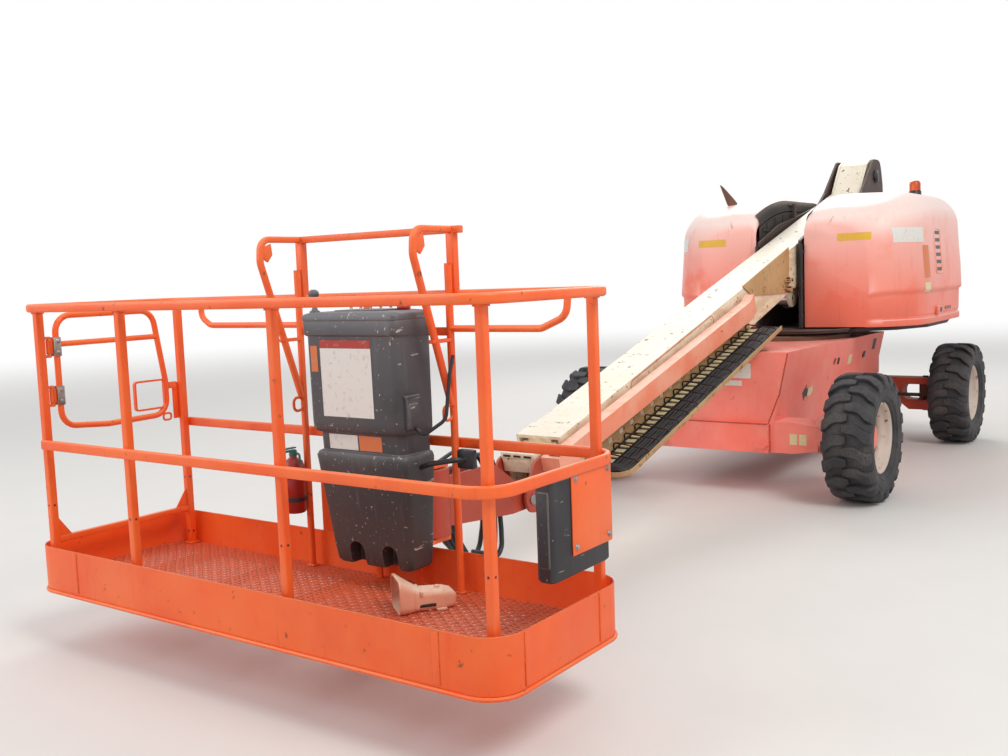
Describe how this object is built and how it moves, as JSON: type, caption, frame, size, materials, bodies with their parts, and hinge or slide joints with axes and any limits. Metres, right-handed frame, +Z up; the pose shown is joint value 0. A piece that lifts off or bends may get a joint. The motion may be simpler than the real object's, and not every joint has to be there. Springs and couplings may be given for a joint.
{
  "type": "telescopic boom lift",
  "caption": "Self-propelled straight boom lift: wheeled chassis, slewing turntable with covers, telescoping boom and a railed work platform with a gate.",
  "frame": {"origin": "on the ground under the centre of the machine's box, stowed", "axes": "+X forward along the stowed boom to the platform, +Y to the boom's left, +Z up"},
  "size_m": [7.758, 2.456, 2.4212],
  "materials": {
    "chassis_paint": "faded chassis paint, worn to primer at the edges",
    "axle_paint": "dull axle paint with dried mud",
    "dark_steel": "dark brown black paint, chalky",
    "tyre": "grey black rubber with dust",
    "rim_paint": "cream paint with rust",
    "hood_paint": "sun faded orange moulded cover",
    "boom_paint": "cream paint with rust at the edges",
    "platform_paint": "bright orange powder coat",
    "nose_paint": "red orange paint with grime",
    "black_rubber": "black hose rubber",
    "black_metal": "black paint",
    "console_plastic": "dark grey moulded plastic with scuffs",
    "box_plastic": "black moulded plastic",
    "rod_chrome": "hard chrome rod",
    "pin_steel": "greased steel pin",
    "engine_iron": "plain inner mass",
    "mesh_paint": "red orange mesh, worn",
    "extinguisher_red": "red cylinder",
    "beacon_lens": "amber lens"
  },
  "bodies": {
    "chassis": {"chassis_frame": "chassis_paint", "slewing_ring": "pin_steel", "drive_axle": "axle_paint", "steer_axle": "axle_paint", "steering_cylinder": "black_metal"},
    "knuckle_left": {"steering_knuckle_left": "black_metal"},
    "knuckle_right": {"steering_knuckle_right": "black_metal"},
    "wheel_drive_left": {"tyre_drive_left": "tyre", "rim_drive_left": "rim_paint"},
    "wheel_drive_right": {"tyre_drive_right": "tyre", "rim_drive_right": "rim_paint"},
    "wheel_steer_left": {"tyre_steer_left": "tyre", "rim_steer_left": "rim_paint"},
    "wheel_steer_right": {"tyre_steer_right": "tyre", "rim_steer_right": "rim_paint"},
    "turntable": {"turntable_frame": "dark_steel", "pivot_pins": "pin_steel", "counterweight": "dark_steel", "engine_and_tanks": "engine_iron"},
    "cover_left": {"hood_left": "hood_paint", "beacon": "beacon_lens"},
    "cover_right": {"hood_right": "hood_paint", "exhaust_stub": "axle_paint"},
    "cylinder_barrel": {"lift_cylinder_barrel": "black_metal"},
    "cylinder_rod": {"lift_cylinder_rod": "rod_chrome"},
    "boom": {"base_boom": "boom_paint", "boom_lift_lugs": "boom_paint", "boom_side_bracket": "boom_paint", "hose_tray": "boom_paint", "hose_carrier": "black_rubber"},
    "fly": {"fly_boom": "boom_paint", "boom_nose": "nose_paint", "push_tube": "platform_paint", "levelling_pin": "pin_steel"},
    "level": {"levelling_link": "black_metal", "rotator": "black_metal"},
    "platform": {"platform_support": "platform_paint", "platform_floor_frame": "platform_paint", "platform_floor_mesh": "mesh_paint", "toe_board": "platform_paint", "top_rail": "platform_paint", "mid_rail": "platform_paint", "platform_posts": "platform_paint", "console_guard": "platform_paint", "control_console": "console_plastic", "storage_box": "box_plastic", "foot_switch": "platform_paint", "fire_extinguisher": "extinguisher_red"},
    "gate": {"platform_gate": "platform_paint"}
  },
  "joints": [
    {"name": "steer_left", "type": "hinge", "parent": "chassis", "child": "knuckle_left", "pos_m": [-2.969, 0.72, 0.41], "axis": [0, 0, 1], "range_deg": [-35, 35]},
    {"name": "steer_right", "type": "hinge", "parent": "chassis", "child": "knuckle_right", "pos_m": [-2.969, -0.72, 0.41], "axis": [0, 0, 1], "range_deg": [-35, 35]},
    {"name": "roll_drive_left", "type": "hinge", "parent": "chassis", "child": "wheel_drive_left", "pos_m": [-0.409, 0.97, 0.41], "axis": [0, 1, 0], "continuous": true},
    {"name": "roll_drive_right", "type": "hinge", "parent": "chassis", "child": "wheel_drive_right", "pos_m": [-0.409, -0.97, 0.41], "axis": [0, 1, 0], "continuous": true},
    {"name": "roll_steer_left", "type": "hinge", "parent": "knuckle_left", "child": "wheel_steer_left", "pos_m": [-2.969, 0.97, 0.41], "axis": [0, 1, 0], "continuous": true},
    {"name": "roll_steer_right", "type": "hinge", "parent": "knuckle_right", "child": "wheel_steer_right", "pos_m": [-2.969, -0.97, 0.41], "axis": [0, 1, 0], "continuous": true},
    {"name": "slew", "type": "hinge", "parent": "chassis", "child": "turntable", "pos_m": [-1.689, 0, 1], "axis": [0, 0, 1], "continuous": true},
    {"name": "hood_left_open", "type": "hinge", "parent": "turntable", "child": "cover_left", "pos_m": [-2.589, 0.184, 2], "axis": [1, 0, 0], "range_deg": [0, 60]},
    {"name": "hood_right_open", "type": "hinge", "parent": "turntable", "child": "cover_right", "pos_m": [-2.589, -0.184, 2], "axis": [-1, 0, 0], "range_deg": [0, 60]},
    {"name": "boom_lift", "type": "hinge", "parent": "turntable", "child": "boom", "pos_m": [-3.439, 0, 2.27], "axis": [0, -1, 0], "range_deg": [0, 88]},
    {"name": "cylinder_swing", "type": "hinge", "parent": "turntable", "child": "cylinder_barrel", "pos_m": [-3.329, 0, 1.13], "axis": [0, -1, 0], "range_deg": [0, 68.13]},
    {"name": "cylinder_stroke", "type": "slide", "parent": "cylinder_barrel", "child": "cylinder_rod", "axis": [0.9973, 0, 0.0728], "range_m": [0, 1.3687]},
    {"name": "boom_extend", "type": "slide", "parent": "boom", "child": "fly", "axis": [0.9603, 0, -0.279], "range_m": [0, 4.6]},
    {"name": "platform_level", "type": "hinge", "parent": "fly", "child": "level", "pos_m": [2.06096, 0, 0.41178], "axis": [0, 1, 0], "range_deg": [0, 88.5]},
    {"name": "platform_turn", "type": "hinge", "parent": "level", "child": "platform", "pos_m": [2.711, 0, 0.52], "axis": [0, 0, 1], "range_deg": [-90, 90]},
    {"name": "gate_swing", "type": "hinge", "parent": "platform", "child": "gate", "pos_m": [3.8, -1.11, 1.2], "axis": [0, 0, -1], "range_deg": [0, 90]}
  ],
  "couplings": [
    {"joint": "steer_right", "follows": "steer_left", "ratio": 1},
    {"joint": "cylinder_swing", "follows": "boom_lift", "ratio": 0.76857},
    {"joint": "cylinder_stroke", "follows": "boom_lift", "m_per_rad": 0.88791},
    {"joint": "platform_level", "follows": "boom_lift", "ratio": 1}
  ]
}
